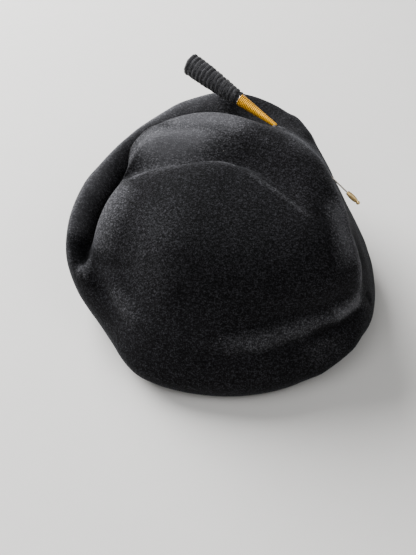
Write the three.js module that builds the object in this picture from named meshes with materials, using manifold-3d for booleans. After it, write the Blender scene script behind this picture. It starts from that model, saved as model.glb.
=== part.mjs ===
// Draped black velour tilt hat with a hat pin.
// Millimetres. +X is the wearer's right, +Y the front, +Z up. The turned-under edge lies flat on Z = 0.

import * as THREE from "three";
import { mergeVertices } from "three/addons/utils/BufferGeometryUtils.js";
import Module from "manifold-3d";

// Felt
const FELT_THICKNESS = 2.2;
const HEAD_OPENING = { halfWidth: 84, halfDepth: 90 };
const MARGIN_WIDTH = 9; // flat turned-under margin, from the raw edge outwards
const TURN_SHARE = 0.7; // where the turn leaves the table, from margin to bulge
const TURN_LIFT = 0.25; // its height there, as a share of the bulge's height

// Sections around the hat, by azimuth from +X, anticlockwise from above. Each pair is radius, height.
// bulge: widest line of the side. wall, roll, slope: outer shoulder, top and inner shoulder of the standing
// roll, or points of the flank where none stands. moat: floor of the gap inside the roll.
// crest: edge of the crown panel.
const SECTION_COLUMNS = ["azimuth", "bulge", "wall", "roll", "slope", "moat", "crest"];
const SECTIONS = [
  [163, [114, 26], [119, 64], [113, 80], [103, 75], [91, 52], [80, 95]],
  [188, [116, 24], [120, 46], [118, 62], [111, 59], [105, 50], [98, 68]],
  [212, [105, 20], [104, 30], [101, 38], [99, 42], [96, 46], [92, 53]],
  [238, [111, 17], [108, 26], [104, 34], [101, 39], [98, 43], [94, 50]],
  [266, [108, 17], [106, 26], [102, 34], [98, 39], [95, 43], [90, 50]],
  [298, [112, 17], [110, 26], [105, 34], [101, 39], [97, 43], [91, 50]],
  [332, [120, 19], [119, 29], [115, 37], [112, 41], [109, 44], [107, 50]],
  [353, [118, 20], [113, 33], [107, 45], [102, 54], [97, 64], [93, 74]],
  [377, [116, 22], [103, 53], [92, 74], [86, 87], [82, 97], [77, 107]],
  [400, [114, 26], [100, 76], [90, 97], [85, 102], [79, 107], [67, 118]],
  [422, [114, 30], [112, 87], [104, 101], [93, 103], [80, 107], [60, 122]],
  [446, [114, 32], [122, 91], [115, 103], [105, 99], [88, 88], [67, 122]],
  [470, [114, 32], [121, 84], [114, 98], [104, 93], [90, 79], [74, 122]],
  [496, [113, 30], [112, 74], [106, 88], [99, 83], [90, 64], [84, 112]],
].map((row) => Object.fromEntries(row.map((value, column) => [SECTION_COLUMNS[column], value])));

// Fold across the crown panel, left to right: its crest, the dip of the valley in front of it, and the rise
// of the puff in front of the valley, as a share of the puff's width.
const FOLD = [
  { x: -61, y: 22, z: 103, dip: 5, puff: 0.14 },
  { x: -37, y: 22, z: 111, dip: 8, puff: 0.15 },
  { x: -8, y: 22, z: 116, dip: 9, puff: 0.14 },
  { x: 20, y: 13, z: 113, dip: 5, puff: 0.12 },
  { x: 43, y: -5, z: 109, dip: 2, puff: 0.09 },
  { x: 61, y: -24, z: 105, dip: 0, puff: 0.07 },
  { x: 80, y: -21, z: 95, dip: 0, puff: 0.1 },
];
const VALLEY_GAP = 8; // from the fold's crest to the valley's floor
const VALLEY_SHARE = 0.3; // at most this share of the way to the front crest

// Back panel between the crest and the fold: share of the way up, and share of the full swell there.
// At the back the panel flares out to a ledge inside its crest, and at its two ends it stays full.
const PANEL_SWELL = 0.17; // full swell, as a share of the panel's depth
const PANEL = [
  { way: 0.13, full: 0.5, ledge: 0.16 },
  { way: 0.46, full: 1.0, ledge: 1.0 },
  { way: 0.8, full: 0.62, ledge: 0.62 },
];
const LEDGE_START = [0.12, 0.32]; // where the ledge rises and falls, as shares of the way from left to right
const LEDGE_END = [0.8, 0.94];

// How finely the felt is faceted
const STATIONS_PER_SECTION = 5;
const SIDE_STEPS = [2, 2, 2, 2, 2, 2, 3]; // margin to turn, bulge, wall, roll, slope, moat, crest
const PANEL_STEPS = [2, 4, 3, 3, 3, 2, 3]; // crest to the three panel rows, fold, valley, puff, crest
const NORMAL_ROUNDS = 5; // of evening out the inner wall's direction
const POLE_REACH = 0.06; // how far along the fold its two end strips look for their slope

// Hat pin: where it enters and leaves the felt, and which way its two ends point
const PIN_ENTRY = new THREE.Vector3(34.6, 66.35, 112.9);
const PIN_EXIT = new THREE.Vector3(76.6, 22, 102);
const HEAD_DIRECTION = new THREE.Vector3(-61.9, 48.5, 15).normalize();
const POINT_DIRECTION = new THREE.Vector3(19.5, -14.8, -11).normalize();
const WIRE_RADIUS = 0.55;
const WIRE_STEPS = 24;
const POINT_LENGTH = 15; // from the felt to the end cap
const PIN_GAP = 0.3; // between the pin's pieces
const HOLE_GAP = 0.4; // around the wire in the felt
const SOCKET_DEPTH = 5;

const CONE = { length: 32.5, tipRadius: 1.7, baseRadius: 4.7, windings: 24, sides: 10 };
const GRIP = { length: 49, neckRadius: 5.5, endRadius: 8.4, windings: 14, sides: 14 };
const SPIGOT = { radius: 2, length: 8 };
const WINDING_RELIEF = 0.35; // height of a winding over the groove beside it
const CAP = { length: 9.7, mouthRadius: 1.5, bellyRadius: 2, neckRadius: 0.9, ballRadius: 1.5, sides: 12 };

const { degToRad, lerp, smoothstep } = THREE.MathUtils;
const wasm = await Module();
wasm.setup();

// A closed three.js geometry as a solid that can be cut.
function toSolid(geometry) {
  const bare = geometry.clone();
  bare.deleteAttribute("normal");
  bare.deleteAttribute("uv");
  const merged = mergeVertices(bare, 1e-4);
  const mesh = new wasm.Mesh({
    numProp: 3,
    vertProperties: new Float32Array(merged.attributes.position.array),
    triVerts: new Uint32Array(merged.index.array),
  });
  return new wasm.Manifold(mesh);
}

function toGeometry(solid) {
  const mesh = solid.getMesh();
  const geometry = new THREE.BufferGeometry();
  geometry.setAttribute("position", new THREE.BufferAttribute(mesh.vertProperties, 3));
  geometry.setIndex(new THREE.BufferAttribute(mesh.triVerts, 1));
  geometry.computeVertexNormals();
  return geometry;
}

function polar(azimuth, [radius, height]) {
  const angle = degToRad(azimuth);
  return new THREE.Vector3(radius * Math.cos(angle), radius * Math.sin(angle), height);
}

function edgeRadius(azimuth) {
  const angle = degToRad(azimuth);
  return 1 / Math.hypot(Math.cos(angle) / HEAD_OPENING.halfWidth, Math.sin(angle) / HEAD_OPENING.halfDepth);
}

// Closed curve around the hat through one point of every section.
function ring(pointOf) {
  return new THREE.CatmullRomCurve3(SECTIONS.map(pointOf), true);
}

const EDGE_RING = ring(({ azimuth }) => polar(azimuth, [edgeRadius(azimuth), 0]));
const SIDE_RINGS = [
  ring(({ azimuth }) => polar(azimuth, [edgeRadius(azimuth) + MARGIN_WIDTH, 0])),
  ring(({ azimuth, bulge }) => {
    const margin = edgeRadius(azimuth) + MARGIN_WIDTH;
    return polar(azimuth, [lerp(margin, bulge[0], TURN_SHARE), bulge[1] * TURN_LIFT]);
  }),
  ...SECTION_COLUMNS.slice(1).map((line) => ring((section) => polar(section.azimuth, section[line]))),
];

// Half of the stations run round the back, from the fold's left end to its right end, and half run back
// round the front.
const HALF = (SECTIONS.length / 2) * STATIONS_PER_SECTION;

function sidePoints(station) {
  const t = (station / (2 * HALF)) % 1;
  return SIDE_RINGS.map((curve) => curve.getPoint(t));
}

const LEFT_POLE = sidePoints(0).at(-1);
const RIGHT_POLE = sidePoints(HALF).at(-1);
const FOLD_CREST = new THREE.CatmullRomCurve3([
  LEFT_POLE,
  ...FOLD.map(({ x, y, z }) => new THREE.Vector3(x, y, z)),
  RIGHT_POLE,
]);
const FOLD_LIFT = new THREE.CatmullRomCurve3(
  [{ ...FOLD[0], dip: 0 }, ...FOLD, { ...FOLD.at(-1), dip: 0 }].map(
    ({ dip, puff }, row) => new THREE.Vector3(row, dip, puff),
  ),
);

// Points across the crown panel, from its back crest over the fold to its front crest.
function panelPoints(row, back, front) {
  const along = row / HALF;
  const fold = FOLD_CREST.getPoint(along);
  const climb = fold.clone().sub(back);
  const outward = new THREE.Vector3(0, 0, 1).projectOnPlane(climb.clone().normalize()).normalize();
  const ledge = smoothstep(along, ...LEDGE_START) - smoothstep(along, ...LEDGE_END);
  const panel = PANEL.map((step) => {
    const swell = PANEL_SWELL * climb.length() * lerp(step.full, step.ledge, ledge);
    return back.clone().addScaledVector(climb, step.way).addScaledVector(outward, swell);
  });
  const across = front.clone().sub(fold);
  const width = across.length();
  const reach = Math.min(VALLEY_GAP, VALLEY_SHARE * width);
  const valley = fold.clone().addScaledVector(across, reach / width);
  const lift = FOLD_LIFT.getPoint(along);
  valley.z -= lift.y * (reach / VALLEY_GAP);
  const puff = valley.clone().lerp(front, 0.5);
  puff.z += lift.z * width;
  return [...panel, fold, valley, puff];
}

// Points along a curve, with the given number of steps between each two of its control points.
function sample(controls, steps) {
  const curve = new THREE.CatmullRomCurve3(controls);
  const spans = controls.length - 1;
  const points = steps.flatMap((count, span) =>
    Array.from({ length: count }, (_, step) => curve.getPoint((span + step / count) / spans)),
  );
  return [...points, controls.at(-1).clone()];
}

// One strip of felt for each row, from the edge at the back over the crown to the edge at the front.
function feltStrips(points) {
  const put = (point) => points.push(point) - 1;
  const panelCount = PANEL_STEPS.reduce((sum, count) => sum + count, 0) - 1;
  const strips = [];
  for (let row = 0; row <= HALF; row++) {
    const backEdge = EDGE_RING.getPoint(row / (2 * HALF));
    const backSide = sidePoints(row);
    if (row === 0 || row === HALF) {
      const inside = FOLD_CREST.getPoint(row === 0 ? POLE_REACH : 1 - POLE_REACH);
      const line = sample([...backSide, inside], [...SIDE_STEPS, 1]).slice(0, -1);
      const side = [backEdge, ...line].map(put);
      const pole = side.at(-1);
      strips.push([...side, ...Array(panelCount).fill(pole), ...side.toReversed()]);
      continue;
    }
    const frontEdge = EDGE_RING.getPoint((2 * HALF - row) / (2 * HALF));
    const frontSide = sidePoints(2 * HALF - row);
    const panel = panelPoints(row, backSide.at(-1), frontSide.at(-1));
    const controls = [...backSide, ...panel, ...frontSide.toReversed()];
    const steps = [...SIDE_STEPS, ...PANEL_STEPS, ...SIDE_STEPS.toReversed()];
    strips.push([backEdge, ...sample(controls, steps), frontEdge].map(put));
  }
  return strips;
}

// Triangles between neighbouring strips, each quad split along its shorter diagonal.
function feltTriangles(points, strips) {
  const triangles = [];
  const add = (a, b, c) => {
    if (a !== b && b !== c && c !== a) triangles.push(a, b, c);
  };
  for (let row = 0; row < HALF; row++) {
    for (let step = 0; step < strips[row].length - 1; step++) {
      const [a, b] = [strips[row][step], strips[row][step + 1]];
      const [d, c] = [strips[row + 1][step], strips[row + 1][step + 1]];
      if (points[a].distanceTo(points[c]) < points[b].distanceTo(points[d])) {
        add(a, c, b);
        add(a, d, c);
      } else {
        add(a, d, b);
        add(b, d, c);
      }
    }
  }
  return triangles;
}

function sheetGeometry(points, triangles) {
  const geometry = new THREE.BufferGeometry().setFromPoints(points);
  geometry.setIndex(triangles);
  geometry.computeVertexNormals();
  return geometry;
}

// Normals of the sheet, each evened out with its neighbours' so that tight folds keep their wall.
function evenNormals(points, triangles) {
  const bare = sheetGeometry(points, triangles).attributes.normal;
  let normals = points.map((_, i) => new THREE.Vector3().fromBufferAttribute(bare, i));
  for (let round = 0; round < NORMAL_ROUNDS; round++) {
    const sums = normals.map((normal) => normal.clone());
    for (let i = 0; i < triangles.length; i += 3) {
      const corners = triangles.slice(i, i + 3);
      for (const a of corners) for (const b of corners) sums[a].add(normals[b]);
    }
    normals = sums.map((sum) => sum.normalize());
  }
  return normals;
}

// The felt: an outer sheet, the same sheet moved in by the felt's thickness, and the raw edge between them.
function feltGeometry() {
  const outer = [];
  const strips = feltStrips(outer);
  const triangles = feltTriangles(outer, strips);
  const normals = evenNormals(outer, triangles);
  const inner = outer.map((point, i) => point.clone().addScaledVector(normals[i], -FELT_THICKNESS));
  const shift = outer.length;
  const all = [...triangles];
  for (let i = 0; i < triangles.length; i += 3) {
    all.push(triangles[i] + shift, triangles[i + 2] + shift, triangles[i + 1] + shift);
  }
  const backEdge = strips.map((strip) => strip[0]);
  const frontEdge = strips.slice(1, -1).map((strip) => strip.at(-1));
  const edge = [...backEdge, ...frontEdge.toReversed()];
  edge.forEach((a, i) => {
    const b = edge[(i + 1) % edge.length];
    all.push(a, a + shift, b, b, a + shift, b + shift);
  });
  return sheetGeometry([...outer, ...inner], all);
}

// Path of the wire: straight in the cone's socket, bent under the felt, straight again up to the end cap.
function wirePath() {
  const start = PIN_ENTRY.clone().addScaledVector(HEAD_DIRECTION, SOCKET_DEPTH);
  const end = PIN_EXIT.clone().addScaledVector(POINT_DIRECTION, POINT_LENGTH + SOCKET_DEPTH);
  const pull = PIN_ENTRY.distanceTo(PIN_EXIT) / 3;
  const path = new THREE.CurvePath();
  path.add(new THREE.LineCurve3(start, PIN_ENTRY));
  path.add(
    new THREE.CubicBezierCurve3(
      PIN_ENTRY,
      PIN_ENTRY.clone().addScaledVector(HEAD_DIRECTION, -pull),
      PIN_EXIT.clone().addScaledVector(POINT_DIRECTION, -pull),
      PIN_EXIT,
    ),
  );
  path.add(new THREE.LineCurve3(PIN_EXIT, end));
  return path;
}

function wireGeometry(radius) {
  const section = new THREE.Shape().absarc(0, 0, radius, 0, 2 * Math.PI);
  return new THREE.ExtrudeGeometry(section, { extrudePath: wirePath(), steps: WIRE_STEPS, curveSegments: 4 });
}

// Profile of a wound stretch between two heights: a groove and a winding in turn.
function woundProfile(from, to, radiusAt, windings) {
  const pitch = (to - from) / windings;
  return Array.from({ length: windings }, (_, i) => {
    const foot = from + i * pitch;
    const crown = foot + pitch / 2;
    const groove = radiusAt((foot - from) / (to - from)) - WINDING_RELIEF;
    return [new THREE.Vector2(groove, foot), new THREE.Vector2(radiusAt((crown - from) / (to - from)), crown)];
  }).flat();
}

function coneGeometry() {
  const bore = WIRE_RADIUS + PIN_GAP;
  const radiusAt = (way) => lerp(CONE.tipRadius, CONE.baseRadius, way);
  const profile = [
    new THREE.Vector2(0, SOCKET_DEPTH + PIN_GAP),
    new THREE.Vector2(bore, SOCKET_DEPTH + PIN_GAP),
    new THREE.Vector2(bore, 0),
    ...woundProfile(0, CONE.length, radiusAt, CONE.windings),
    new THREE.Vector2(CONE.baseRadius - WINDING_RELIEF, CONE.length),
    new THREE.Vector2(SPIGOT.radius, CONE.length),
    new THREE.Vector2(SPIGOT.radius, CONE.length + SPIGOT.length),
    new THREE.Vector2(0, CONE.length + SPIGOT.length),
  ];
  return new THREE.LatheGeometry(profile, CONE.sides);
}

function gripGeometry() {
  const socket = SPIGOT.radius + PIN_GAP;
  const depth = SPIGOT.length + PIN_GAP;
  const radiusAt = (way) => lerp(GRIP.neckRadius, GRIP.endRadius, Math.sin((way * Math.PI) / 2));
  const profile = [
    new THREE.Vector2(0, depth),
    new THREE.Vector2(socket, depth),
    new THREE.Vector2(socket, 0),
    ...woundProfile(0, GRIP.length, radiusAt, GRIP.windings),
    new THREE.Vector2(GRIP.endRadius - WINDING_RELIEF, GRIP.length),
    new THREE.Vector2(0, GRIP.length),
  ];
  return new THREE.LatheGeometry(profile, GRIP.sides);
}

function capGeometry() {
  const bore = WIRE_RADIUS + PIN_GAP;
  const ballCentre = CAP.length + Math.sqrt(CAP.ballRadius ** 2 - CAP.neckRadius ** 2);
  const ball = new THREE.Path();
  const neckAngle = -Math.acos(CAP.neckRadius / CAP.ballRadius);
  ball.absarc(0, ballCentre, CAP.ballRadius, neckAngle, Math.PI / 2);
  const profile = [
    new THREE.Vector2(0, SOCKET_DEPTH + PIN_GAP),
    new THREE.Vector2(bore, SOCKET_DEPTH + PIN_GAP),
    new THREE.Vector2(bore, 0),
    new THREE.Vector2(CAP.mouthRadius, 0),
    new THREE.Vector2(CAP.bellyRadius, 0.3 * CAP.length),
    new THREE.Vector2(CAP.bellyRadius, 0.6 * CAP.length),
    new THREE.Vector2(CAP.mouthRadius, 0.9 * CAP.length),
    ...ball.getPoints(6).slice(0, -1),
    new THREE.Vector2(0, ballCentre + CAP.ballRadius),
  ];
  return new THREE.LatheGeometry(profile, CAP.sides);
}

// Group whose +Y runs along a direction from a point, for the pieces turned about the pin's axis.
function axisGroup(origin, direction) {
  const group = new THREE.Group();
  group.position.copy(origin);
  group.quaternion.setFromUnitVectors(new THREE.Vector3(0, 1, 0), direction);
  return group;
}

function piece(name, geometry, material) {
  const mesh = new THREE.Mesh(geometry, new THREE.MeshStandardMaterial(material));
  mesh.name = name;
  return mesh;
}

const BLACK_VELOUR = { color: 0x17171a, roughness: 1, metalness: 0 };
const BLACK_CORD = { color: 0x0d0d0f, roughness: 0.9, metalness: 0 };
const GOLD_WIRE = { color: 0xc98a3c, roughness: 0.3, metalness: 1 };
const PALE_STEEL = { color: 0xcabfb4, roughness: 0.25, metalness: 1 };
const GILT = { color: 0xd1a45a, roughness: 0.25, metalness: 1 };

const felt = toSolid(feltGeometry()).subtract(toSolid(wireGeometry(WIRE_RADIUS + HOLE_GAP)));

const hat = new THREE.Group();
hat.add(piece("felt_body", toGeometry(felt), BLACK_VELOUR));
hat.add(piece("pin_wire", wireGeometry(WIRE_RADIUS), PALE_STEEL));

const head = axisGroup(PIN_ENTRY, HEAD_DIRECTION);
head.add(piece("pin_cone", coneGeometry(), GOLD_WIRE));
const grip = piece("pin_grip", gripGeometry(), BLACK_CORD);
grip.position.y = CONE.length + PIN_GAP;
head.add(grip);
hat.add(head);

const point = axisGroup(PIN_EXIT.clone().addScaledVector(POINT_DIRECTION, POINT_LENGTH), POINT_DIRECTION);
point.add(piece("pin_cap", capGeometry(), GILT));
hat.add(point);

// The origin is the middle of the hat's box, on the plane that the edge lies on.
const middle = new THREE.Box3().setFromObject(hat, true).getCenter(new THREE.Vector3());
hat.position.set(-middle.x, -middle.y, 0);

export default hat;
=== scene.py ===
import math

import bpy
import numpy as np
from bpy.props import FloatProperty, FloatVectorProperty, IntProperty, PointerProperty
from mathutils import Matrix, Vector, noise


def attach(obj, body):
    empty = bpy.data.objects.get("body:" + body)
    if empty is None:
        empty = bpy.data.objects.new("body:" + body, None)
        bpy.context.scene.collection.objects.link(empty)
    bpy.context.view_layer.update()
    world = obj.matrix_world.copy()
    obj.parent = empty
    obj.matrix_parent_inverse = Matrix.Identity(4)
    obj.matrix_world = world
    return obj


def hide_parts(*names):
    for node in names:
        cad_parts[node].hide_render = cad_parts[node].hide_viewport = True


bl_info = {
    "name": "Tilt Hat",
    "version": (1, 0, 0),
    "blender": (4, 5, 0),
    "location": "3D View > Sidebar > Tilt Hat",
    "description": "Dresses a draped velour felt tilt hat and its hat pin",
    "category": "Object",
}

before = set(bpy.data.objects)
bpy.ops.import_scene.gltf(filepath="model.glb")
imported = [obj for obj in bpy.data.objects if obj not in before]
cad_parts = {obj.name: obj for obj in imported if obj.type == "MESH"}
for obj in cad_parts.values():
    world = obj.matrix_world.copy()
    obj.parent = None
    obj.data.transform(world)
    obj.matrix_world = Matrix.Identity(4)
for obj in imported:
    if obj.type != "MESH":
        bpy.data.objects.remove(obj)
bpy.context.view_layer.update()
BODY = "root"
MM = 0.001

# The hat pin's place, in metres: where its wire enters and leaves the felt, and which way its ends point
PIN_ENTRY = Vector((0.036336, 0.059087, 0.1129))
PIN_EXIT = Vector((0.078336, 0.014737, 0.102))
HEAD_DIRECTION = Vector((-61.9, 48.5, 15)).normalized()
POINT_DIRECTION = Vector((19.5, -14.8, -11)).normalized()
PIN_GAP = 0.3 * MM
SOCKET_DEPTH = 5 * MM
TIP_SINK = 2.4 * MM

# How the pin is wound and run. A share is a strand's radius against its pitch. A depth is how round the
# strand is, with 1 for a circle. A bed is how far the core lies under the outside of the strand.
STRAND_SIDES = 8
TURN_STEPS = 32
CORD_SHARE = 0.56
CORD_LAP = 2 * MM  # how far the last turn of cord stands past the grip's end
CORD_DEPTH = 0.5
CORD_BED = 1.1 * MM
CORD_WAVER = 0.7 * MM
WAVER_GRAIN = 1.8 * MM
WAVER_SEED = 1
END_RINGS = 4  # rings of cord on the flat end of the grip
END_RING_STEPS = 8
END_RING_HEIGHT = 0.5 * MM
WIRE_SHARE = 0.52
WIRE_DEPTH = 0.1
WIRE_DEPTH_GAIN = 1.3  # from the cone's tip to its base
WIRE_BED = 0.5 * MM
GRIP_STEPS = 12
CONE_STEPS = 6
SHANK_STEPS = 24
SHANK_ROUNDING = 3
# The cone's nose, which sinks into the felt: its radius, and the depth there as a share of the sink
NOSE = ((0.7 * MM, 1), (1.3 * MM, 0.9), (1.6 * MM, 0.65), (1.65 * MM, 0))

# The ring between cone and grip
RING_HALF = 0.5 * MM
RING_BEVEL = 0.2 * MM
RING_BORE = 0.6 * MM
RING_INSET = 0.2 * MM  # how far it stays inside the cone's base

# The end cap: radii of its barrel and ball, and the height of the collar at its mouth
CAP_BORE = 0.9 * MM
CAP_BORE_END = 0.85 * MM
CAP_BORE_DEPTH = 0.4 * MM
CAP_MOUTH = 1.5 * MM
CAP_LIP = 1.65 * MM
CAP_BELLY = 2 * MM
CAP_NECK = 0.9 * MM
CAP_BALL = 1.5 * MM
CAP_COLLAR = 1 * MM
CAP_STEPS = 12
POLE_RADIUS = 0.02 * MM

TURNED_SIDES = 28
SMOOTH_ANGLE = math.radians(50)
CAP_SMOOTH_ANGLE = math.radians(35)

# Small forms of the felt. Each follows a path, in millimetres. The felt is pushed away from the hat's heart
# along it, or towards the heart where the push is negative. The push dies out at the reach, and towards the
# path's ends over the fade, a share of its length. Pale is painted light: how much paler the nap is painted
# along the path, to stand for light falling on it, and where it is negative, how much darker it is painted,
# as painted shade.
HEART = Vector((0, -5, 20))
FELT_FORMS = (
    {"name": "left wall", "push": 3.0, "reach": 24, "fade": 0.35, "pale": 0, "path": (
        (-113.5, -10.0, 60.0), (-112.5, -24.0, 56.0), (-110.0, -36.0, 47.0), (-102.5, -45.3, 35.0),
        (-94.9, -53.7, 27.6), (-86.0, -64.6, 24.0), (-76.6, -77.7, 24.0), (-68.5, -89.3, 22.0),
        (-58.4, -99.8, 19.0), (-45.0, -106.5, 17.0), (-30.0, -111.0, 16.0), (-10.0, -114.0, 15.0))},
    {"name": "right back wall", "push": 2.6, "reach": 18, "fade": 0.3, "pale": 0, "path": (
        (106.8, -65.0, 24.0), (99.4, -74.0, 24.0), (90.8, -82.0, 23.4), (84.0, -87.6, 20.6),
        (70.0, -97.5, 18.4), (57.0, -104.0, 17.0))},
    {"name": "front left of the roll", "push": 3.2, "reach": 26, "fade": 0.45, "pale": 0, "path": (
        (-97.0, 34.0, 81.0), (-86.6, 49.0, 84.1), (-72.2, 64.3, 86.8), (-57.3, 79.4, 91.1),
        (-42.0, 92.0, 95.4))},
    {"name": "front right of the roll", "push": 2.0, "reach": 22, "fade": 0.3, "pale": 0, "path": (
        (44.0, 85.0, 102.0), (51.0, 77.0, 102.4), (57.0, 67.0, 102.6), (65.0, 51.0, 102.5))},
    {"name": "flank of the puff", "push": 4.5, "reach": 8, "fade": 0.3, "pale": -0.35, "path": (
        (-74.0, 26.0, 93.5), (-71.0, 33.0, 97.5), (-68.0, 39.5, 101.5), (-65.0, 49.0, 104.5),
        (-60.0, 55.5, 107.0), (-53.0, 60.0, 110.0), (-44.0, 62.0, 113.0))},
    {"name": "back edge", "push": 2.2, "reach": 10, "fade": 0.4, "pale": 0.4, "path": (
        (-18.4, -99.0, 45.5), (-3.1, -98.6, 47.9), (14.2, -96.2, 49.3), (30.2, -92.2, 50.0),
        (44.2, -87.0, 50.9), (58.0, -81.5, 49.8), (71.0, -75.8, 49.1), (81.4, -70.5, 48.0),
        (88.1, -65.6, 48.6), (95.8, -58.3, 48.7), (103.0, -48.3, 45.2), (106.5, -41.0, 42.5))},
    {"name": "right end of the back edge", "push": 0.4, "reach": 11, "fade": 0.3, "pale": 0.85, "path": (
        (103.0, -45.0, 47.5), (98.0, -54.0, 49.0), (92.0, -62.0, 49.0), (84.0, -69.0, 48.5),
        (72.0, -75.5, 49.0))},
    {"name": "under the back edge", "push": -0.8, "reach": 8, "fade": 0.3, "pale": -0.5, "path": (
        (103.0, -56.0, 39.0), (100.4, -59.9, 41.1), (92.5, -66.6, 41.5), (83.4, -73.2, 41.9),
        (71.3, -79.8, 43.6), (55.1, -85.7, 46.8))},
    {"name": "foot of the panel", "push": -1.8, "reach": 12, "fade": 0.2, "pale": 0, "path": (
        (-11.6, -91.7, 54.7), (14.0, -89.3, 57.0), (29.9, -85.7, 58.3), (43.7, -81.1, 60.7),
        (62.2, -74.9, 59.7), (79.6, -66.6, 59.5), (90.5, -58.8, 61.2))},
    {"name": "corner notch", "push": -1.5, "reach": 5, "fade": 0, "pale": -0.7, "path": (
        (106.8, -46.2, 41.2), (109.7, -46.3, 36.4))},
    {"name": "fold crest", "push": 1.2, "reach": 4.5, "fade": 0.1, "pale": 0.6, "path": (
        (-71.4, 9.6, 99.5), (-61.2, 14.4, 104.1), (-47.3, 18.3, 109.0), (-32.5, 20.1, 112.3),
        (-16.5, 20.4, 115.4), (-1.9, 16.2, 115.7), (11.7, 11.6, 114.6))},
    {"name": "fold crease", "push": 0.7, "reach": 3, "fade": 0.2, "pale": 0.25, "path": (
        (11.7, 11.6, 114.6), (26.5, -0.8, 112.4), (43.9, -14.5, 109.0), (54.7, -24.1, 107.3),
        (65.0, -32.0, 104.0))},
    {"name": "tip dent", "push": -1.5, "reach": 11, "fade": 0, "pale": 0, "path": (
        (-89.5, -35.3, 62.2), (-86.3, -37.8, 63.0))},
    {"name": "tip crease", "push": -0.8, "reach": 6, "fade": 0.3, "pale": 0, "path": (
        (-86.3, -37.8, 63.0), (-73.8, -43.2, 67.7), (-58.3, -50.4, 76.1))},
    {"name": "left ridge", "push": 1.8, "reach": 12, "fade": 0.4, "pale": 0.15, "path": (
        (-83.2, -45.3, 57.4), (-79.2, -52.0, 54.3), (-73.6, -60.0, 52.0), (-67.2, -69.3, 50.2),
        (-60.2, -79.4, 47.5), (-55.0, -86.0, 45.5))},
    {"name": "face of the puff", "push": 4.0, "reach": 15, "fade": 0.2, "pale": 0.2, "path": (
        (-63.9, 36.0, 108.0), (-46.0, 34.5, 110.5), (-24.0, 33.5, 112.9), (-2.1, 32.5, 114.1),
        (18.2, 26.5, 115.5))},
    {"name": "left of the puff", "push": 0, "reach": 26, "fade": 0.45, "pale": 1.2, "path": (
        (-74.0, 15.0, 97.0), (-66.0, 26.0, 103.0), (-57.0, 32.0, 107.5), (-47.0, 34.5, 111.0),
        (-35.0, 36.0, 114.0), (-20.0, 38.5, 117.5), (-5.0, 41.0, 120.0), (12.0, 42.0, 121.0))},
    {"name": "top of the puff", "push": 0, "reach": 18, "fade": 0.3, "pale": 0.85, "path": (
        (-55.3, 45.0, 115.0), (-29.7, 52.4, 122.6), (-7.6, 51.4, 123.9), (10.7, 49.9, 123.7),
        (26.8, 43.6, 122.9))},
    {"name": "right shoulder", "push": 0, "reach": 18, "fade": 0.4, "pale": 0.4, "path": (
        (43.7, 58.0, 109.0), (51.8, 47.3, 112.3), (57.3, 31.8, 116.8), (61.7, 20.0, 116.4))},
    {"name": "inside of the roll", "push": 0, "reach": 20, "fade": 0.08, "pale": 0.8, "path": (
        (-107.4, -17.0, 59.2), (-107.8, -7.3, 65.1), (-105.7, 8.3, 72.4), (-101.3, 20.8, 76.7),
        (-94.0, 34.5, 80.1), (-85.1, 48.7, 83.4), (-62.0, 78.0, 94.0), (-39.8, 94.9, 96.4),
        (-16.2, 99.5, 98.0), (6.0, 100.0, 98.8))},
    {"name": "left crest", "push": 0.4, "reach": 22, "fade": 0.25, "pale": 0.5, "path": (
        (-66.0, 12.0, 102.0), (-71.2, 8.2, 100.0), (-75.8, 1.7, 98.3), (-80.5, -6.1, 94.9),
        (-84.7, -12.2, 89.9), (-88.5, -18.1, 82.3), (-91.8, -23.6, 73.1), (-96.3, -24.9, 60.8))},
    {"name": "left of the panel", "push": 0, "reach": 34, "fade": 0.4, "pale": 0.09, "path": (
        (-40.0, -10.0, 109.0), (-44.7, -18.7, 106.2), (-51.0, -34.9, 98.0), (-54.5, -49.2, 82.5),
        (-60.0, -60.3, 62.3), (-64.0, -66.0, 52.0))},
    {"name": "right of the back wall", "push": 0, "reach": 16, "fade": 0.4, "pale": 0.14, "path": (
        (90.0, -72.0, 37.0), (84.9, -75.0, 36.5), (70.1, -88.5, 34.0), (55.9, -100.4, 28.0))},
    {"name": "lip", "push": 0.6, "reach": 4, "fade": 0.2, "pale": 0.4, "path": (
        (-97.0, -25.5, 59.0), (-102.0, -33.0, 57.0), (-107.0, -40.5, 51.0))},
    {"name": "right ridge", "push": 1.6, "reach": 7, "fade": 0.2, "pale": 0.9, "path": (
        (77.0, 8.0, 107.0), (80.0, 0.0, 104.0), (83.5, -8.0, 98.0), (87.5, -17.0, 90.0),
        (91.0, -29.0, 84.0), (94.0, -42.0, 79.5), (97.5, -47.0, 66.0), (102.0, -45.5, 50.0),
        (104.0, -47.0, 45.0))},
    {"name": "inside the right ridge", "push": 0, "reach": 16, "fade": 0.3, "pale": 0.75, "path": (
        (74.6, -3.8, 108.5), (79.0, -12.2, 102.2), (82.8, -21.3, 94.5), (85.7, -35.1, 91.2),
        (88.4, -46.3, 85.1), (90.9, -52.7, 77.6))},
    {"name": "bend of the right ridge", "push": 1.8, "reach": 9, "fade": 0.4, "pale": 0, "path": (
        (83.0, -6.0, 98.0), (85.5, -13.0, 94.0), (89.5, -24.0, 87.0), (91.5, -33.0, 83.5))},
    {"name": "right wall", "push": -0.8, "reach": 16, "fade": 0.4, "pale": -0.45, "path": (
        (93.0, 2.0, 72.0), (98.0, -8.0, 66.0), (101.0, -20.0, 60.0), (104.0, -32.0, 52.0),
        (107.0, -40.0, 45.0))},
)
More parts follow.
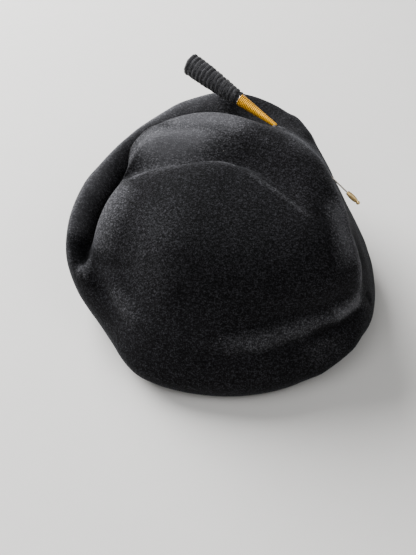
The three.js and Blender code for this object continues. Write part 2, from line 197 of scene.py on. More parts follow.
# The gap inside the roll ends at the left tip, where the panel's lip closes on the roll. Past the lip the gap
# is filled and the felt is softened over some rounds.
TIP_PATH = ((-101.0, -29.0, 50.5), (-98.5, -34.0, 50.0), (-95.0, -40.0, 49.0), (-91.0, -46.5, 47.3))
TIP_UP = Vector((-0.15, -0.5, 0.85))
TIP_FILL = 8
TIP_REACH = 10
TIP_SOFT_REACH = 15
TIP_ROUNDS = 24
LIP = (Vector((-98, -25, 57)), Vector((-107.5, -41, 49)))
LIP_EDGE = 2
LIP_SOFT_REACH = 8
LIP_ROUNDS = 6
SOFTNESS = 0.6
# The felt wanders in waves of two lengths. It lies still near its edge and around the pin's entry and exit.
# The small forms fade out towards the edge too.
COARSE_WAVE = 38
FINE_WAVE = 17
FINE_WAVE_SHARE = 0.5
STILL_EDGE = 4
STILL_FADE = 10
FORM_FADE = 12
PIN_CLEARANCE = 12
# The pin draws the felt up to the tip of its cone, around the hole that its wire goes into
PUCKER_DEPTH = 7
PUCKER_PULL = 5.2
PUCKER_REACH = 8
# The felt's mesh, and how sharply it bends where the rubbed nap and painted highlight start, per metre
MERGE_DISTANCE = 0.01 * MM
QUAD_FACE_ANGLE = math.radians(60)
QUAD_SHAPE_ANGLE = math.radians(70)
BEND_ROUNDS = 8
RUB_AND_HIGHLIGHT_BEND = 25
RUB_AND_HIGHLIGHT_BEND_SPAN = 110

# Grain of the finishes, in cells for each metre
PILE_GRAIN = 1050
TUFT_GRAIN = (420, 700, 480)
TUFT_LEAN = (0.4, 0.2, 0.6)
CLOUD_GRAIN = 26
LINT_GRAIN = 62
FUZZ_GRAIN = 1100
STAIN_GRAIN = 420
SCRATCH_GRAIN = (900, 5200, 900)
FLOOR_GRAIN = 60
NAP_DEPTH = 0.7 * MM
SCRATCH_DEPTH = 0.01 * MM

# Strength of the finishes' patterns, as factors of the colour
MOTTLE_FLOOR = 0.15
MOTTLE_GAIN = 3.5
RUB_AND_PAINTED_LIGHT_CALM = 0.75  # how far the mottle is lost where the nap is rubbed and light painted
# How much paler the cord is painted between its turns, for its fuzz and as painted light
GROOVE_FUZZ_AND_LIGHT_GAIN = 2.4
# How much darker the metal is painted in its grooves: painted shade
GROOVE_SHADE = 0.85

# Second colours of the finishes
LINT = (0.22, 0.21, 0.2)
BLOOM_TINT = (0.86, 0.89, 1.0)
FUZZ = (0.05, 0.05, 0.055)
GOLD_TARNISH = (1.0, 0.44, 0.02)
STEEL_TARNISH = (0.6, 0.5, 0.4)
GILT_TARNISH = (0.45, 0.28, 0.1)

# The stage, in metres and watts
FLOOR_SIZE = 8
FLOOR_GRAIN_SHADE = 0.97
LIGHT_TARGET = Vector((0, 0, 0.06))
LIGHTS = (
    {"name": "key_light", "place": (-1.05, 1.05, 0.92), "size": 1.5, "power": 106},
    {"name": "fill_light", "place": (-0.62, -0.5, 1.5), "size": 1.4, "power": 10},
    {"name": "side_light", "place": (0.946, -0.546, 1.36), "size": 1.2, "power": 7},
)
ROOM_COLOUR = (1.0, 0.99, 0.97)
ROOM_STRENGTH = 0.12
SENSOR_WIDTH = 36


class FeltSettings(bpy.types.PropertyGroup):
    """The draped felt and its nap."""

    rounding: IntProperty(
        name="Rounding", description="Rounds of subdivision on the felt", default=2, min=0, max=2
    )
    unevenness: FloatProperty(
        name="Unevenness", description="How far the hand-pulled felt wanders", default=0.7 * MM,
        unit="LENGTH",
    )
    nap: FloatVectorProperty(
        name="Nap", description="Colour of the brushed pile", subtype="COLOR",
        default=(0.010, 0.010, 0.0115),
    )
    # The paler nap colour: rubbed nap on the ridges, and painted light where the felt's forms and ridges
    # stand for light falling on them.
    rubbed_nap_and_painted_light: FloatVectorProperty(
        name="Rubbed nap", description="Colour of the pile on the ridges", subtype="COLOR",
        default=(0.092, 0.092, 0.1),
    )
    bloom: FloatProperty(
        name="Bloom", description="Sheen of the pile", default=0.06, min=0, max=1, subtype="FACTOR"
    )


class PinSettings(bpy.types.PropertyGroup):
    """The hat pin."""

    grip_length: FloatProperty(
        name="Grip length", description="Length of the grip", default=49 * MM, unit="LENGTH"
    )
    grip_neck: FloatProperty(
        name="Grip neck", description="Radius of the grip beside the cone", default=5.6 * MM, unit="LENGTH"
    )
    grip_end: FloatProperty(
        name="Grip end", description="Radius of the grip at its free end", default=8.7 * MM, unit="LENGTH"
    )
    grip_turns: IntProperty(name="Grip windings", description="Turns of cord on the grip", default=13)
    cone_length: FloatProperty(
        name="Cone length", description="Length of the cone", default=32.5 * MM, unit="LENGTH"
    )
    cone_tip: FloatProperty(
        name="Cone tip", description="Radius of the cone on the felt", default=1.7 * MM, unit="LENGTH"
    )
    cone_base: FloatProperty(
        name="Cone base", description="Radius of the cone beside the grip", default=4.7 * MM, unit="LENGTH"
    )
    cone_turns: IntProperty(name="Cone windings", description="Turns of wire on the cone", default=24)
    wire_radius: FloatProperty(
        name="Wire radius", description="Radius of the pin's wire", default=0.55 * MM, unit="LENGTH"
    )
    point_length: FloatProperty(
        name="Point length", description="Wire between the felt and the end cap", default=15 * MM,
        unit="LENGTH",
    )
    cap_length: FloatProperty(
        name="Cap length", description="Length of the end cap's barrel", default=9.7 * MM, unit="LENGTH"
    )
    cord: FloatVectorProperty(
        name="Cord", description="Colour of the wound cord", subtype="COLOR", default=(0.013, 0.013, 0.014)
    )
    gold: FloatVectorProperty(
        name="Gold wire", description="Colour of the wound wire", subtype="COLOR", default=(1.0, 0.5, 0.02)
    )
    steel: FloatVectorProperty(
        name="Steel", description="Colour of the pin's wire", subtype="COLOR", default=(0.78, 0.7, 0.62)
    )
    gilt: FloatVectorProperty(
        name="Gilt", description="Colour of the end cap", subtype="COLOR", default=(0.78, 0.56, 0.25)
    )


class StageSettings(bpy.types.PropertyGroup):
    """Floor, light and camera."""

    floor: FloatVectorProperty(
        name="Floor", description="Colour of the floor", subtype="COLOR", default=(0.8, 0.79, 0.77)
    )
    camera_place: FloatVectorProperty(
        name="Camera place", description="Where the camera stands", subtype="TRANSLATION",
        default=(-0.00226, -0.4158, 0.5349),
    )
    camera_tip: FloatProperty(
        name="Camera tip", description="How far the camera is tipped up from straight down",
        default=math.radians(37.9), subtype="ANGLE",
    )
    camera_pan: FloatProperty(
        name="Camera pan", description="How far the camera is turned to its left",
        default=math.radians(1.28), subtype="ANGLE",
    )
    camera_lens: FloatProperty(
        name="Lens", description="Focal length of the camera", default=54.1, unit="CAMERA"
    )


class HatSettings(bpy.types.PropertyGroup):
    """All that a user would change on the hat."""

    felt: PointerProperty(name="Felt", description="The draped felt and its nap", type=FeltSettings)
    pin: PointerProperty(name="Pin", description="The hat pin", type=PinSettings)
    stage: PointerProperty(name="Stage", description="Floor, light and camera", type=StageSettings)


class Shade:
    """A number, colour or vector of a finish. Sums on a number add Math nodes."""

    def __init__(self, finish, socket):
        self.finish = finish
        self.socket = socket

    def sum_of(self, operation, *terms):
        return self.finish.node("ShaderNodeMath", {"operation": operation}, dict(enumerate(terms)))

    def __add__(self, other):
        return self.sum_of("ADD", self, other)

    def __radd__(self, other):
        return self.sum_of("ADD", other, self)

    def __rsub__(self, other):
        return self.sum_of("SUBTRACT", other, self)

    def __mul__(self, other):
        return self.sum_of("MULTIPLY", self, other)

    def __rmul__(self, other):
        return self.sum_of("MULTIPLY", other, self)

    def __pow__(self, other):
        return self.sum_of("POWER", self, other)

    def least(self, other):
        return self.sum_of("MINIMUM", self, other)

    def most(self, other):
        return self.sum_of("MAXIMUM", self, other)

    def step(self, low, high):
        """0 below low, 1 above high, smooth between."""
        settings = {"interpolation_type": "SMOOTHSTEP"}
        sockets = {"Value": self, "From Min": low, "From Max": high}
        return self.finish.node("ShaderNodeMapRange", settings, sockets)


class Finish:
    """A material, added to node by node."""

    def __init__(self, name):
        self.material = bpy.data.materials.new(name)
        self.material.use_nodes = True
        self.tree = self.material.node_tree
        self.tree.nodes.clear()

    def node(self, kind, settings=None, sockets=None, out=0):
        """Adds a node: its settings first, then the values or links of its sockets."""
        made = self.tree.nodes.new(kind)
        for key, value in (settings or {}).items():
            setattr(made, key, value)
        for key, value in (sockets or {}).items():
            if isinstance(value, Shade):
                self.tree.links.new(value.socket, made.inputs[key])
            else:
                made.inputs[key].default_value = value
        return None if out is None else Shade(self, made.outputs[out])

    def place(self):
        return self.node("ShaderNodeTexCoord", out="Object")

    def attribute(self, name):
        return self.node("ShaderNodeAttribute", {"attribute_name": name}, out="Fac")

    def noise(self, place, scale, detail, roughness):
        sockets = {"Vector": place, "Scale": scale, "Detail": detail, "Roughness": roughness}
        return self.node("ShaderNodeTexNoise", None, sockets)

    def stretched(self, place, scale, turn=(0, 0, 0)):
        """The place on the surface, scaled and turned, for streaks."""
        return self.node("ShaderNodeMapping", None, {"Vector": place, "Scale": scale, "Rotation": turn})

    def between(self, share, first, second):
        """A colour between two."""
        return self.node("ShaderNodeMix", {"data_type": "RGBA"}, {0: share, 6: first, 7: second}, out=2)

    def scaled(self, colour, factor):
        """A colour times a number."""
        return self.node("ShaderNodeVectorMath", {"operation": "SCALE"}, {0: colour, "Scale": factor})

    def relief(self, height, depth, strength):
        """A bump of that depth, in metres."""
        sockets = {"Height": height, "Distance": depth, "Strength": strength}
        return self.node("ShaderNodeBump", None, sockets)

    def surface(self, **sockets):
        """Ends the finish with a Principled shader."""
        named = {key.replace("_", " "): value for key, value in sockets.items()}
        shader = self.node("ShaderNodeBsdfPrincipled", None, named)
        self.node("ShaderNodeOutputMaterial", None, {"Surface": shader}, out=None)
        return self.material


def rgba(colour):
    """A colour with full alpha."""
    return (*colour, 1.0)


def velour_finish(settings):
    """Black brushed pile, mottled by its tufts, with a little lint. It is paler where it is rubbed and where
    light is painted on it, and darker where shade is painted.
    """
    velour = Finish("black_velour")
    place = velour.place()
    pile = velour.noise(place, PILE_GRAIN, 3, 0.6)
    tufts = velour.noise(velour.stretched(place, TUFT_GRAIN, TUFT_LEAN), 1, 2, 0.6)
    clouds = velour.noise(place, CLOUD_GRAIN, 2, 0.5)
    fleck = (0.65 * pile + 0.35 * tufts).step(0.34, 0.72) ** 2
    # The attribute read here holds rubbed nap on the ridges with painted light, and painted shade where it is
    # negative. Its positive share paints the nap towards the paler colour.
    rub_and_painted_light = velour.attribute("rub_and_painted_light")
    share = rub_and_painted_light * (0.6 + 0.8 * clouds)
    ground = velour.between(share, rgba(settings.nap), rgba(settings.rubbed_nap_and_painted_light))
    mottle = (MOTTLE_FLOOR + MOTTLE_GAIN * fleck) * (0.7 + 0.6 * clouds)
    calm = RUB_AND_PAINTED_LIGHT_CALM * share.most(0).least(1)
    # Where the attribute is negative the nap is darkened: painted shade.
    shaded = velour.scaled(ground, (mottle + calm * (1 - mottle)) * (1 + rub_and_painted_light.least(0)))
    lint_cells = {"Vector": place, "Scale": LINT_GRAIN}
    from_lint = velour.node("ShaderNodeTexVoronoi", None, lint_cells, out="Distance")
    lint_luck = velour.node("ShaderNodeSeparateColor", None, {
        "Color": velour.node("ShaderNodeTexVoronoi", None, lint_cells, out="Color")})
    lint = (1 - from_lint.step(0.015, 0.045)) * lint_luck.step(0.9, 0.92)
    return velour.surface(
        Base_Color=velour.between(lint, shaded, rgba(LINT)),
        Roughness=0.93,
        Specular_IOR_Level=0.1,
        Sheen_Weight=settings.bloom,
        Sheen_Roughness=0.3,
        Sheen_Tint=rgba(BLOOM_TINT),
        Normal=velour.relief(0.55 * pile + 0.45 * tufts, NAP_DEPTH, 0.8),
    )


def cord_finish(settings):
    """Black cord with a soft fuzz, painted paler between the turns: partly the fuzz that gathers there,
    partly painted light that undoes the shade in the grooves.
    """
    cord = Finish("black_cord")
    fuzz = cord.noise(cord.place(), FUZZ_GRAIN, 3, 0.7)
    ground = cord.between(fuzz.step(0.4, 0.7), rgba(settings.cord), rgba(FUZZ))
    groove = cord.attribute("groove")
    # Paler between the turns: fuzz there, and painted light against the shade in the grooves.
    fuzz_and_painted_light = groove.step(0.04, 0.26) * (1 - groove.step(0.28, 0.36))
    return cord.surface(
        Base_Color=cord.scaled(ground, 1 + GROOVE_FUZZ_AND_LIGHT_GAIN * fuzz_and_painted_light),
        Roughness=0.85,
        Specular_IOR_Level=0.2,
        Sheen_Weight=0.1,
        Sheen_Roughness=0.4,
        Normal=cord.relief(fuzz, NAP_DEPTH, 0.8),
    )


def metal_finish(name, colour, tarnish, roughness, shine):
    """Bright metal with a little tarnish and fine scratches; painted shade darkens its winding grooves."""
    metal = Finish(name)
    place = metal.place()
    stain = metal.noise(place, STAIN_GRAIN, 4, 0.6).step(0.45, 0.75)
    scratch = metal.noise(metal.stretched(place, SCRATCH_GRAIN), 1, 2, 0.5)
    ground = metal.between(stain, rgba(colour), rgba(tarnish))
    groove = metal.attribute("groove").step(0.1, 0.6)
    return metal.surface(
        Base_Color=metal.scaled(ground, 1 - GROOVE_SHADE * groove),
        Metallic=shine,
        Roughness=roughness + 0.2 * scratch * stain,
        Specular_IOR_Level=0.08,
        Normal=metal.relief(scratch, SCRATCH_DEPTH, 0.15),
    )


def floor_finish(colour):
    """A pale matt floor with a faint grain."""
    floor = Finish("pale_floor")
    grain = floor.noise(floor.place(), FLOOR_GRAIN, 3, 0.5)
    ground = floor.between(grain, rgba(colour), rgba([FLOOR_GRAIN_SHADE * part for part in colour]))
    return floor.surface(Base_Color=ground, Roughness=0.7, Specular_IOR_Level=0.2)


def deselect_all():
    """Leaves edit mode and selects nothing."""
    if bpy.context.mode != "OBJECT":
        bpy.ops.object.mode_set(mode="OBJECT")
    bpy.ops.object.select_all(action="DESELECT")


def pick(piece):
    """Selects one piece alone."""
    deselect_all()
    piece.select_set(True)
    bpy.context.view_layer.objects.active = piece


def edit(piece):
    """Opens a piece in edit mode with all of it selected."""
    pick(piece)
    bpy.ops.object.mode_set(mode="EDIT")
    bpy.ops.mesh.select_all(action="SELECT")


def shut():
    """Leaves edit mode."""
    bpy.ops.object.mode_set(mode="OBJECT")


def apply_modifier(piece, kind, **settings):
    pick(piece)
    modifier = piece.modifiers.new(kind.lower(), kind)
    for key, value in settings.items():
        setattr(modifier, key, value)
    bpy.ops.object.modifier_apply(modifier=modifier.name)


def points_of(piece):
    """A row for each point of a piece, in metres."""
    flat = np.zeros(3 * len(piece.data.vertices))
    piece.data.vertices.foreach_get("co", flat)
    return flat.reshape(-1, 3)


def set_points(piece, points):
    piece.data.vertices.foreach_set("co", points.ravel())
    piece.data.update()


def add_attribute(piece, name, values):
    attribute = piece.data.attributes.new(name, "FLOAT", "POINT")
    attribute.data.foreach_set("value", np.asarray(values, dtype=np.float32))


def dress(piece, material, node):
    """Gives a finished piece its finish, hides the CAD node that it replaces and sets it on its body."""
    piece.data.materials.clear()
    piece.data.materials.append(material)
    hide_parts(node)
    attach(piece, BODY)


def stand(piece, place, direction):
    """Turns a piece made along +Z so that it runs along a direction from a place."""
    turn = Vector((0, 0, 1)).rotation_difference(direction).to_matrix().to_4x4()
    pick(piece)
    piece.matrix_world = Matrix.Translation(place) @ turn
    bpy.ops.object.transform_apply(location=True, rotation=True, scale=True)


def smooth(piece, angle):
    """Shades a piece smooth and keeps its edges that are sharper than the angle."""
    pick(piece)
    bpy.ops.object.shade_smooth_by_angle(angle=angle)


def turned(name, profile):
    """A solid turned about +Z through pairs of radius and height."""
    deselect_all()
    first_radius, first_height = profile[0]
    bpy.ops.mesh.primitive_circle_add(vertices=TURNED_SIDES, radius=first_radius, fill_type="NGON")
    piece = bpy.context.active_object
    piece.name = name
    edit(piece)
    bpy.ops.transform.translate(value=(0, 0, first_height))
    for (radius, height), (next_radius, next_height) in zip(profile, profile[1:]):
        rise = (0, 0, next_height - height)
        bpy.ops.mesh.extrude_region_move(TRANSFORM_OT_translate={"value": rise})
        grow = next_radius / radius
        bpy.ops.transform.resize(value=(grow, grow, 1), center_override=(0, 0, next_height))
    bpy.ops.mesh.select_all(action="SELECT")
    bpy.ops.mesh.normals_make_consistent(inside=False)
    shut()
    return piece


def wound(name, strand, pitch, turns, radius_at, depth_at, waver):
    """A strand wound round +Z from height 0.

    Its outside follows radius_at(height), depth_at(height) flattens it and the waver makes it uneven. Its
    groove attribute says how far each point lies under the outside.
    """
    deselect_all()
    reach = 5 * strand  # a coil of any radius, which is fitted to radius_at below
    bpy.ops.mesh.primitive_circle_add(
        vertices=STRAND_SIDES, radius=strand, location=(reach, 0, 0), rotation=(math.pi / 2, 0, 0)
    )
    piece = bpy.context.active_object
    piece.name = name
    bpy.ops.object.transform_apply(location=True, rotation=True, scale=True)
    apply_modifier(
        piece, "SCREW", axis="Z", angle=math.tau, screw_offset=pitch, iterations=turns,
        steps=TURN_STEPS, render_steps=TURN_STEPS, use_merge_vertices=False,
    )
    edit(piece)
    bpy.ops.mesh.fill_holes(sides=0)
    bpy.ops.mesh.normals_make_consistent(inside=False)
    shut()
    points = points_of(piece)
    out = np.hypot(points[:, 0], points[:, 1])
    turn = np.arctan2(points[:, 1], points[:, 0]) / math.tau
    lap = np.round(points[:, 2] / pitch - turn) + turn
    height = lap * pitch
    new_out = radius_at(height) + (out - reach - strand) * depth_at(height)
    points[:, :2] *= (new_out / out)[:, None]
    noise.seed_set(WAVER_SEED)
    uneven = np.array([noise.noise_vector(Vector(point) / WAVER_GRAIN) for point in points])
    set_points(piece, points + waver * uneven)
    add_attribute(piece, "groove", np.clip((reach + strand - out) / strand, 0, 1) * depth_at(height))
    return piece


def join(first, second):
    """Makes the second piece part of the first."""
    pick(first)
    second.select_set(True)
    bpy.ops.object.join()


def edges_of(piece):
    """The two points of each edge of a piece."""
    flat = np.zeros(2 * len(piece.data.edges), dtype=np.int64)
    piece.data.edges.foreach_get("vertices", flat)
    return flat.reshape(-1, 2)


def neighbours_mean(values, edges):
    """The mean of each point's neighbours along the edges, for rows of values."""
    first, second = edges.T
    size = len(values)
    count = np.bincount(first, minlength=size) + np.bincount(second, minlength=size)

    def total(column):
        return np.bincount(first, column[second], size) + np.bincount(second, column[first], size)

    return np.stack([total(column) for column in values.T], axis=1) / count[:, None]


def soften(points, edges, shares, rounds):
    """Moves points towards the mean of their neighbours, each by its share, some rounds long."""
    for _ in range(rounds):
        points = points + shares[:, None] * (neighbours_mean(points, edges) - points)
    return points


def bends(piece, rounds):
    """How sharply the surface bends outwards at each point, per metre, evened out over some rounds."""
    normals = np.zeros(3 * len(piece.data.vertices))
    piece.data.vertices.foreach_get("normal", normals)
    edges = edges_of(piece)
    points = points_of(piece)
    square = ((points[edges[:, 0]] - points[edges[:, 1]]) ** 2).sum(axis=1)
    size = len(points)
    count = np.bincount(edges.ravel(), minlength=size)
    span = (np.bincount(edges[:, 0], square, size) + np.bincount(edges[:, 1], square, size)) / count
    rise = ((points - neighbours_mean(points, edges)) * normals.reshape(-1, 3)).sum(axis=1)
    bend = (2 * rise / span)[:, None]
    for _ in range(rounds):
        bend = neighbours_mean(bend, edges)
    return bend[:, 0]


def nearest_on(points, path):
    """Each point's distance from a path, and the share of the path's length where it is nearest."""
    path = np.asarray(path, dtype=float)
    lengths = np.linalg.norm(np.diff(path, axis=0), axis=1)
    run = np.concatenate([[0], np.cumsum(lengths)]) / lengths.sum()
    nearest = np.full(len(points), np.inf)
    share = np.zeros(len(points))
    for start, end, low, high in zip(path, path[1:], run, run[1:]):
        line = end - start
        way = np.clip((points - start) @ line / (line @ line), 0, 1)
        distance = np.linalg.norm(points - start - way[:, None] * line, axis=1)
        nearer = distance < nearest
        nearest[nearer] = distance[nearer]
        share[nearer] = (low + (high - low) * way)[nearer]
    return nearest, share


def bell(distance, reach):
    """1 on the path, 0 at its reach."""
    return np.clip(1 - (distance / reach) ** 2, 0, 1) ** 2


def end_fade(share, fade):
    """Dies out towards both ends of a path."""
    if not fade:
        return np.ones_like(share)
    rise = np.clip(np.minimum(share, 1 - share) / fade, 0, 1)
    return rise * rise * (3 - 2 * rise)


def close_tip(points, edges):
    """Fills the gap inside the roll past the lip that closes it."""
    start, end = LIP
    across = TIP_UP.cross(end - start).normalized()
    past = (points - np.array(start)) @ np.array(across)
    side = np.clip(0.5 + past / (2 * LIP_EDGE), 0, 1)
    distance, share = nearest_on(points, TIP_PATH)
    fill = TIP_FILL * side * bell(distance, TIP_REACH) * (1 - share**2)
    points = points + fill[:, None] * np.array(TIP_UP)
    beyond = np.clip(past / LIP_EDGE - 1, 0, 1)
    points = soften(points, edges, SOFTNESS * beyond * bell(distance, TIP_SOFT_REACH), TIP_ROUNDS)
    from_lip, _ = nearest_on(points, LIP)
    return soften(points, edges, SOFTNESS * bell(from_lip, LIP_SOFT_REACH), LIP_ROUNDS)


def wave(point, length):
    """A smooth wave through space, of about that length."""
    return noise.noise(Vector(point) / length)


def drape(points, edges, unevenness):
    """Works the small forms into the felt, in millimetres, and says how much painted light makes its nap
    paler and painted shade makes it darker.
    """
    points = close_tip(points, edges)
    outward = points - np.array(HEART)
    outward /= np.linalg.norm(outward, axis=1)[:, None]
    push = np.zeros(len(points))
    pale = np.zeros(len(points))
    dark = np.zeros(len(points))
    for form in FELT_FORMS:
        distance, share = nearest_on(points, form["path"])
        here = bell(distance, form["reach"]) * end_fade(share, form["fade"])
        push += form["push"] * here
        # Pale gathers the painted light and dark the painted shade of the forms.
        pale = np.maximum(pale, form["pale"] * here)
        dark = np.minimum(dark, form["pale"] * here)
    wander = np.array([wave(p, COARSE_WAVE) + FINE_WAVE_SHARE * wave(p, FINE_WAVE) for p in points])
    wander *= np.clip((points[:, 2] - STILL_EDGE) / STILL_FADE, 0, 1)
    push *= np.clip(points[:, 2] / FORM_FADE, 0, 1)
    for place in (PIN_ENTRY, PIN_EXIT):
        from_pin = np.linalg.norm(points - np.array(place) / MM, axis=1)
        wander *= np.clip((from_pin - PIN_CLEARANCE / 2) / PIN_CLEARANCE, 0, 1)
    points = points + outward * (push + unevenness * wander)[:, None]
    hole = np.array(PIN_ENTRY / MM - HEAD_DIRECTION * PUCKER_DEPTH)
    pull = PUCKER_PULL * bell(np.linalg.norm(points - hole, axis=1), PUCKER_REACH)
    return points + pull[:, None] * np.array(HEAD_DIRECTION), pale, dark


class TILTHAT_OT_felt(bpy.types.Operator):
    """Rounds the draped felt, works its small forms in and gives it its nap"""

    bl_idname = "tilt_hat.felt"
    bl_label = "Draped felt"

    def execute(self, context):
        settings = context.scene.tilt_hat.felt
        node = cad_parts["felt_body"]
        felt = bpy.data.objects.new("draped_felt", node.data.copy())
        context.scene.collection.objects.link(felt)
        edit(felt)
        bpy.ops.mesh.remove_doubles(threshold=MERGE_DISTANCE)
        bpy.ops.mesh.tris_convert_to_quads(face_threshold=QUAD_FACE_ANGLE, shape_threshold=QUAD_SHAPE_ANGLE)
        bpy.ops.mesh.faces_shade_smooth()
        shut()
        apply_modifier(felt, "SUBSURF", levels=settings.rounding, render_levels=settings.rounding)
        points, pale, dark = drape(points_of(felt) / MM, edges_of(felt), settings.unevenness / MM)
        set_points(felt, points * MM)
        # Sharply bent ridges get paler nap: rubbed nap with a painted highlight. The forms' pale and dark add
        # painted light and painted shade to the same attribute.
        rubbed_nap_and_painted_light = np.clip((bends(felt, BEND_ROUNDS) - RUB_AND_HIGHLIGHT_BEND) / RUB_AND_HIGHLIGHT_BEND_SPAN, 0, 1)
        add_attribute(felt, "rub_and_painted_light", np.maximum(pale, rubbed_nap_and_painted_light) + dark)
        dress(felt, velour_finish(settings), "felt_body")
        return {"FINISHED"}


class TILTHAT_OT_grip(bpy.types.Operator):
    """Winds the pin's grip with cord"""

    bl_idname = "tilt_hat.grip"
    bl_label = "Cord grip"

    def execute(self, context):
        settings = context.scene.tilt_hat.pin
        length = settings.grip_length
        pitch = (length + CORD_LAP) / (settings.grip_turns + 2 * CORD_SHARE)
        strand = CORD_SHARE * pitch

        def radius_at(height):
            swell = np.sin(np.clip(height / length, 0, 1) * math.pi / 2)
            return settings.grip_neck + (settings.grip_end - settings.grip_neck) * swell

        def depth_at(height):
            return np.full_like(height, CORD_DEPTH)

        core = []
        for i in range(GRIP_STEPS + 1):
            height = length * i / GRIP_STEPS
            core.append((float(radius_at(height)) - CORD_BED, height))
        end_radius = core[-1][0]
        end_steps = END_RINGS * END_RING_STEPS
        for i in range(1, end_steps):
            way = i / end_steps
            bulge = abs(math.sin(way * END_RINGS * math.pi))
            core.append((end_radius * (1 - way), length + END_RING_HEIGHT * bulge))
        grip = turned("cord_grip", core)
        cord = wound("cord", strand, pitch, settings.grip_turns, radius_at, depth_at, CORD_WAVER)
        set_points(cord, points_of(cord) + np.array((0, 0, strand)))
        join(grip, cord)
        smooth(grip, SMOOTH_ANGLE)
        stand(grip, PIN_ENTRY + HEAD_DIRECTION * (settings.cone_length + PIN_GAP), HEAD_DIRECTION)
        dress(grip, cord_finish(settings), "pin_grip")
        return {"FINISHED"}


class TILTHAT_OT_cone(bpy.types.Operator):
    """Winds the pin's cone with gold wire"""

    bl_idname = "tilt_hat.cone"
    bl_label = "Gold cone"

    def execute(self, context):
        settings = context.scene.tilt_hat.pin
        length = settings.cone_length
        pitch = length / settings.cone_turns

        def share_at(height):
            return np.clip(height / length, 0, 1)

        def radius_at(height):
            return settings.cone_tip + (settings.cone_base - settings.cone_tip) * share_at(height)

        def depth_at(height):
            return WIRE_DEPTH + WIRE_DEPTH_GAIN * share_at(height)

        core = [(radius, -depth * TIP_SINK) for radius, depth in NOSE]
        for i in range(1, CONE_STEPS + 1):
            height = length * i / CONE_STEPS
            core.append((float(radius_at(height)) - WIRE_BED, height))
        cone = turned("gold_cone", core)
        wire = wound("winding", WIRE_SHARE * pitch, pitch, settings.cone_turns, radius_at, depth_at, 0)
        join(cone, wire)
        smooth(cone, SMOOTH_ANGLE)
        stand(cone, PIN_ENTRY, HEAD_DIRECTION)
        gold = metal_finish("gold_wire", settings.gold, GOLD_TARNISH, roughness=0.42, shine=0.35)
        dress(cone, gold, "pin_cone")
        return {"FINISHED"}


class TILTHAT_OT_wire(bpy.types.Operator):
    """Runs the pin's wire under the felt and sets its ring between cone and grip"""

    bl_idname = "tilt_hat.wire"
    bl_label = "Pin wire"

    def execute(self, context):
        settings = context.scene.tilt_hat.pin
        start = PIN_ENTRY + HEAD_DIRECTION * SOCKET_DEPTH
        end = PIN_EXIT + POINT_DIRECTION * (settings.point_length + SOCKET_DEPTH)
        pull = (PIN_EXIT - PIN_ENTRY).length / 3
        route = [
            (start, start + HEAD_DIRECTION * MM, start - HEAD_DIRECTION * MM),
            (PIN_ENTRY, PIN_ENTRY + HEAD_DIRECTION * MM, PIN_ENTRY - HEAD_DIRECTION * pull),
            (PIN_EXIT, PIN_EXIT - POINT_DIRECTION * pull, PIN_EXIT + POINT_DIRECTION * MM),
            (end, end - POINT_DIRECTION * MM, end + POINT_DIRECTION * MM),
        ]
        deselect_all()
        bpy.ops.curve.primitive_bezier_curve_add()
        wire = bpy.context.active_object
        wire.name = "pin_shank"
        spline = wire.data.splines[0]
        spline.bezier_points.add(len(route) - len(spline.bezier_points))
        for knot, (place, left, right) in zip(spline.bezier_points, route):
            knot.handle_left_type = knot.handle_right_type = "FREE"
            knot.co, knot.handle_left, knot.handle_right = place, left, right
        wire.data.dimensions = "3D"
        wire.data.resolution_u = SHANK_STEPS
        wire.data.bevel_depth = settings.wire_radius
        wire.data.bevel_resolution = SHANK_ROUNDING
        wire.data.use_fill_caps = True
        pick(wire)
        bpy.ops.object.convert(target="MESH")
        rim = settings.cone_base - RING_INSET
        flat = RING_HALF - RING_BEVEL
        ring = turned("ring", [
            (RING_BORE, -RING_HALF), (rim - RING_BEVEL, -RING_HALF), (rim, -flat),
            (rim, flat), (rim - RING_BEVEL, RING_HALF), (RING_BORE, RING_HALF),
        ])
        stand(ring, PIN_ENTRY + HEAD_DIRECTION * settings.cone_length, HEAD_DIRECTION)
        join(wire, ring)
        smooth(wire, SMOOTH_ANGLE)
        steel = metal_finish("pale_steel", settings.steel, STEEL_TARNISH, roughness=0.18, shine=0.8)
        dress(wire, steel, "pin_wire")
        return {"FINISHED"}


class TILTHAT_OT_cap(bpy.types.Operator):
    """Turns the gilt cap on the pin's point"""

    bl_idname = "tilt_hat.cap"
    bl_label = "End cap"

    def execute(self, context):
        settings = context.scene.tilt_hat.pin
        length = settings.cap_length
        profile = [
            (CAP_BORE_END, CAP_BORE_DEPTH), (CAP_BORE, 0), (CAP_MOUTH, 0),
            (CAP_LIP, 0.25 * CAP_COLLAR), (CAP_LIP, 0.8 * CAP_COLLAR), (CAP_MOUTH, CAP_COLLAR),
        ]
        for i in range(1, CAP_STEPS):
            way = i / CAP_STEPS
            bulge = math.sin(way * math.pi) ** 0.6
            height = CAP_COLLAR + way * (length - 2 * CAP_COLLAR)
            profile.append((CAP_MOUTH + (CAP_BELLY - CAP_MOUTH) * bulge, height))
        profile += [
            (CAP_MOUTH, length - CAP_COLLAR),
            (0.95 * CAP_MOUTH, length - 0.5 * CAP_COLLAR),
            (CAP_NECK, length),
        ]
        centre = length + math.sqrt(CAP_BALL**2 - CAP_NECK**2)
        first = -math.acos(CAP_NECK / CAP_BALL)
        for i in range(1, CAP_STEPS):
            angle = first + (math.pi / 2 - first) * i / CAP_STEPS
            profile.append((CAP_BALL * math.cos(angle), centre + CAP_BALL * math.sin(angle)))
        profile.append((POLE_RADIUS, centre + CAP_BALL))
        cap = turned("end_cap", profile)
        smooth(cap, CAP_SMOOTH_ANGLE)
        stand(cap, PIN_EXIT + POINT_DIRECTION * settings.point_length, POINT_DIRECTION)
        gilt = metal_finish("gilt", settings.gilt, GILT_TARNISH, roughness=0.25, shine=0.6)
        dress(cap, gilt, "pin_cap")
        return {"FINISHED"}


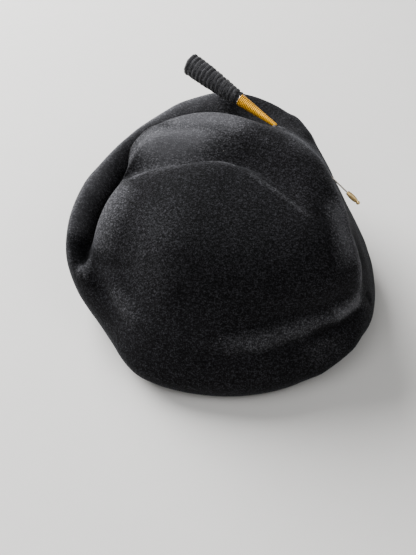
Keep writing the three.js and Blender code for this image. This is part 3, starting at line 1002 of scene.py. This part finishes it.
class TILTHAT_OT_stage(bpy.types.Operator):
    """Lays the floor and sets the light and the camera"""

    bl_idname = "tilt_hat.stage"
    bl_label = "Stage"

    def light(self, name, place, size, power):
        deselect_all()
        bpy.ops.object.light_add(type="AREA", location=place)
        lamp = bpy.context.active_object
        lamp.name = name
        lamp.data.shape = "DISK"
        lamp.data.size = size
        lamp.data.energy = power
        lamp.rotation_euler = (LIGHT_TARGET - Vector(place)).to_track_quat("-Z", "Y").to_euler()

    def execute(self, context):
        settings = context.scene.tilt_hat.stage
        deselect_all()
        bpy.ops.mesh.primitive_plane_add(size=FLOOR_SIZE)
        floor = bpy.context.active_object
        floor.name = "floor"
        floor.data.materials.append(floor_finish(settings.floor))
        for light in LIGHTS:
            self.light(**light)
        world = bpy.data.worlds.new("soft_room")
        world.use_nodes = True
        background = world.node_tree.nodes["Background"]
        background.inputs["Color"].default_value = rgba(ROOM_COLOUR)
        background.inputs["Strength"].default_value = ROOM_STRENGTH
        context.scene.world = world
        deselect_all()
        bpy.ops.object.camera_add(
            location=settings.camera_place, rotation=(settings.camera_tip, 0, settings.camera_pan)
        )
        camera = bpy.context.active_object
        camera.name = "camera"
        camera.data.lens = settings.camera_lens
        camera.data.sensor_width = SENSOR_WIDTH
        context.scene.camera = camera
        return {"FINISHED"}


class TILTHAT_PT_panel(bpy.types.Panel):
    """The steps that dress the hat, in order"""

    bl_idname = "TILTHAT_PT_panel"
    bl_label = "Tilt Hat"
    bl_space_type = "VIEW_3D"
    bl_region_type = "UI"
    bl_category = "Tilt Hat"

    def draw(self, context):
        for operator in OPERATORS:
            self.layout.operator(operator.bl_idname)


OPERATORS = (
    TILTHAT_OT_stage,
    TILTHAT_OT_felt,
    TILTHAT_OT_grip,
    TILTHAT_OT_cone,
    TILTHAT_OT_wire,
    TILTHAT_OT_cap,
)
CLASSES = (FeltSettings, PinSettings, StageSettings, HatSettings, *OPERATORS, TILTHAT_PT_panel)


def register():
    for each in CLASSES:
        bpy.utils.register_class(each)
    bpy.types.Scene.tilt_hat = PointerProperty(type=HatSettings)


def unregister():
    del bpy.types.Scene.tilt_hat
    for each in reversed(CLASSES):
        bpy.utils.unregister_class(each)


def main():
    register()
    bpy.ops.tilt_hat.stage()
    bpy.ops.tilt_hat.felt()
    bpy.ops.tilt_hat.grip()
    bpy.ops.tilt_hat.cone()
    bpy.ops.tilt_hat.wire()
    bpy.ops.tilt_hat.cap()


if __name__ == "__main__":
    main()
